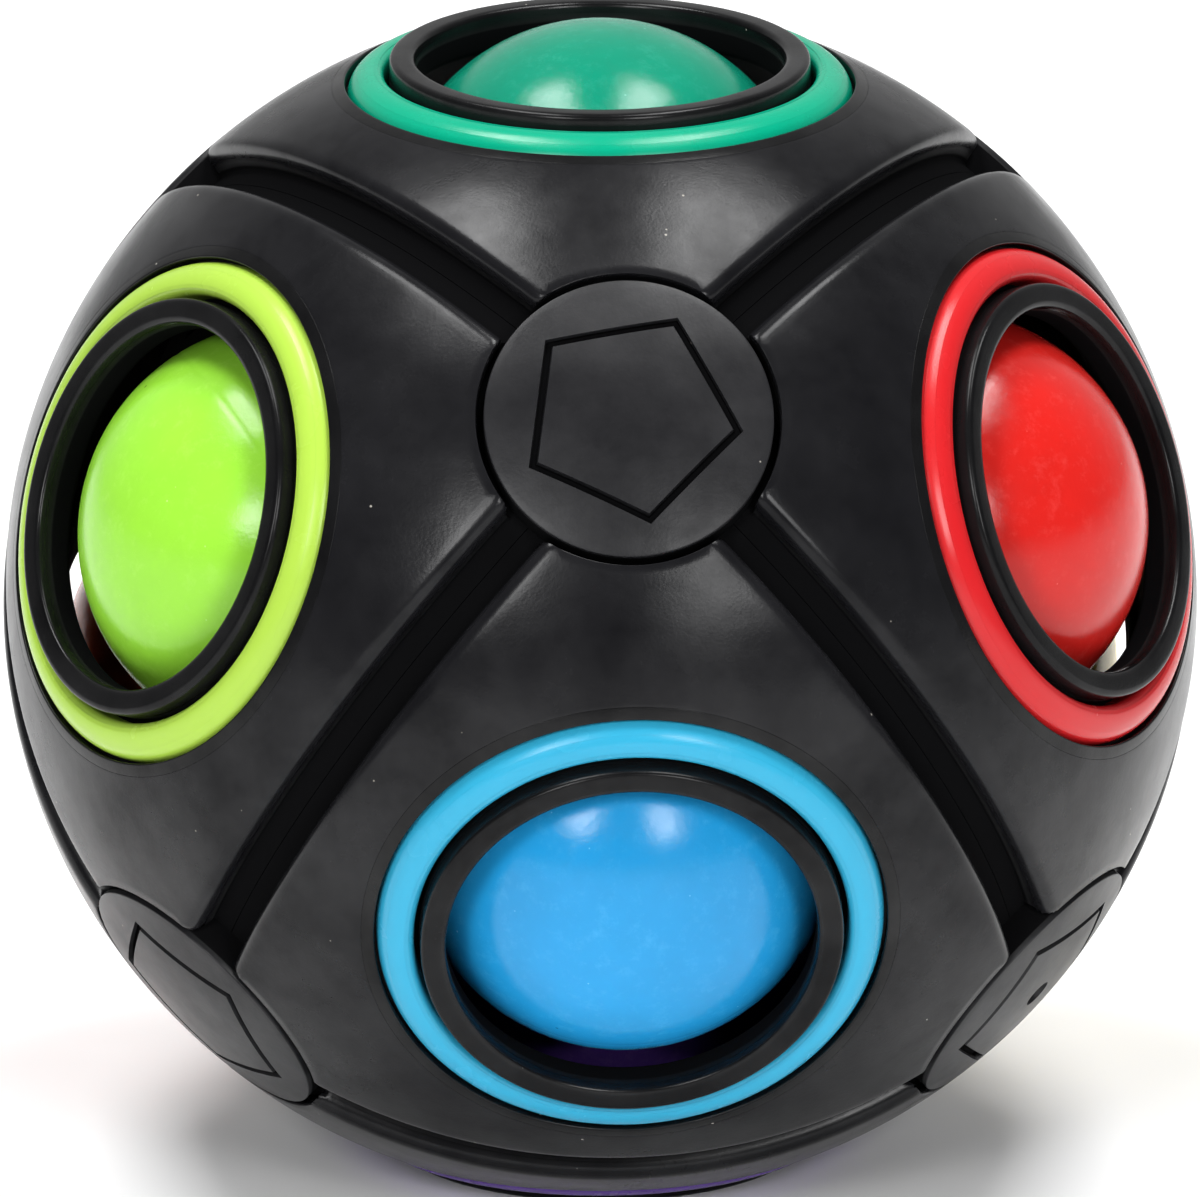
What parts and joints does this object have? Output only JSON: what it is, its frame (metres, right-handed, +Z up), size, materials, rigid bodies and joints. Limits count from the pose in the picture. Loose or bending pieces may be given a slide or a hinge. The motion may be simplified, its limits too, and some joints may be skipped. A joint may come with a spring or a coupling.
{
  "type": "sliding ball puzzle",
  "caption": "Black plastic sphere with round cells at the corners of a cube, each with a coloured ring, holding loose coloured balls that are pushed from cell to cell.",
  "frame": {"origin": "centre of the base collar's flat rim, on the surface that the ball stands on", "axes": "+Z up along the top cell's axis, -Y towards the front cell, +X to the viewer's right"},
  "size_m": [0.07, 0.0706, 0.0683],
  "materials": {
    "shell_black": "satin",
    "collar_black": "satin",
    "cap_black": "satin",
    "clip_black": "satin",
    "ring_green": "gloss",
    "ring_lime": "gloss",
    "ring_red": "gloss",
    "ring_pink": "gloss",
    "ring_blue": "gloss",
    "ring_orange": "gloss",
    "ring_yellow": "gloss",
    "ring_purple": "gloss",
    "ball_green": "gloss",
    "ball_lime": "gloss",
    "ball_red": "gloss",
    "ball_blue": "gloss",
    "ball_orange": "gloss",
    "ball_yellow": "gloss",
    "ball_purple": "gloss"
  },
  "bodies": {
    "shell": {"shell_top": "shell_black", "shell_left": "shell_black", "shell_right": "shell_black", "shell_rear": "shell_black", "shell_front": "shell_black", "shell_rear_left": "shell_black", "shell_rear_right": "shell_black", "shell_base": "shell_black", "collar_top": "collar_black", "collar_left": "collar_black", "collar_right": "collar_black", "collar_rear": "collar_black", "collar_front": "collar_black", "collar_rear_left": "collar_black", "collar_rear_right": "collar_black", "collar_base": "collar_black", "ring_top": "ring_green", "ring_left": "ring_lime", "ring_right": "ring_red", "ring_rear": "ring_pink", "ring_front": "ring_blue", "ring_rear_left": "ring_orange", "ring_rear_right": "ring_yellow", "ring_base": "ring_purple", "cap_upper_front": "cap_black", "cap_upper_right": "cap_black", "cap_upper_left": "cap_black", "cap_lower_left": "cap_black", "cap_lower_right": "cap_black", "cap_lower_rear": "cap_black", "clip_upper_front": "clip_black", "clip_upper_right": "clip_black", "clip_upper_left": "clip_black", "clip_lower_left": "clip_black", "clip_lower_right": "clip_black", "clip_lower_rear": "clip_black"},
    "ball_green": {"ball_green": "ball_green"},
    "ball_lime": {"ball_lime": "ball_lime"},
    "ball_red": {"ball_red": "ball_red"},
    "ball_blue": {"ball_blue": "ball_blue"},
    "ball_yellow": {"ball_yellow": "ball_yellow"},
    "ball_purple": {"ball_purple": "ball_purple"},
    "ball_orange": {"ball_orange": "ball_orange"}
  },
  "joints": [
    {"name": "green_press", "type": "slide", "parent": "shell", "child": "ball_green", "axis": [0, 0, 1], "range_m": [-0.0008, 0.0019]},
    {"name": "lime_press", "type": "slide", "parent": "shell", "child": "ball_lime", "axis": [-0.8165, -0.4714, 0.3333], "range_m": [-0.0011, 0.0016]},
    {"name": "red_press", "type": "slide", "parent": "shell", "child": "ball_red", "axis": [0.8165, -0.4714, 0.3333], "range_m": [-0.0014, 0.0013]},
    {"name": "blue_press", "type": "slide", "parent": "shell", "child": "ball_blue", "axis": [0, -0.9428, -0.3333], "range_m": [-0.0003, 0.0015]},
    {"name": "yellow_press", "type": "slide", "parent": "shell", "child": "ball_yellow", "axis": [0.8165, 0.4714, -0.3333], "range_m": [-0.0003, 0.0015]},
    {"name": "purple_press", "type": "slide", "parent": "shell", "child": "ball_purple", "axis": [0, 0, -1], "range_m": [0, 0.0037]},
    {"name": "orange_transfer", "type": "slide", "parent": "shell", "child": "ball_orange", "axis": [0.7133, 0.3974, 0.5773], "range_m": [0, 0.02621]}
  ]
}
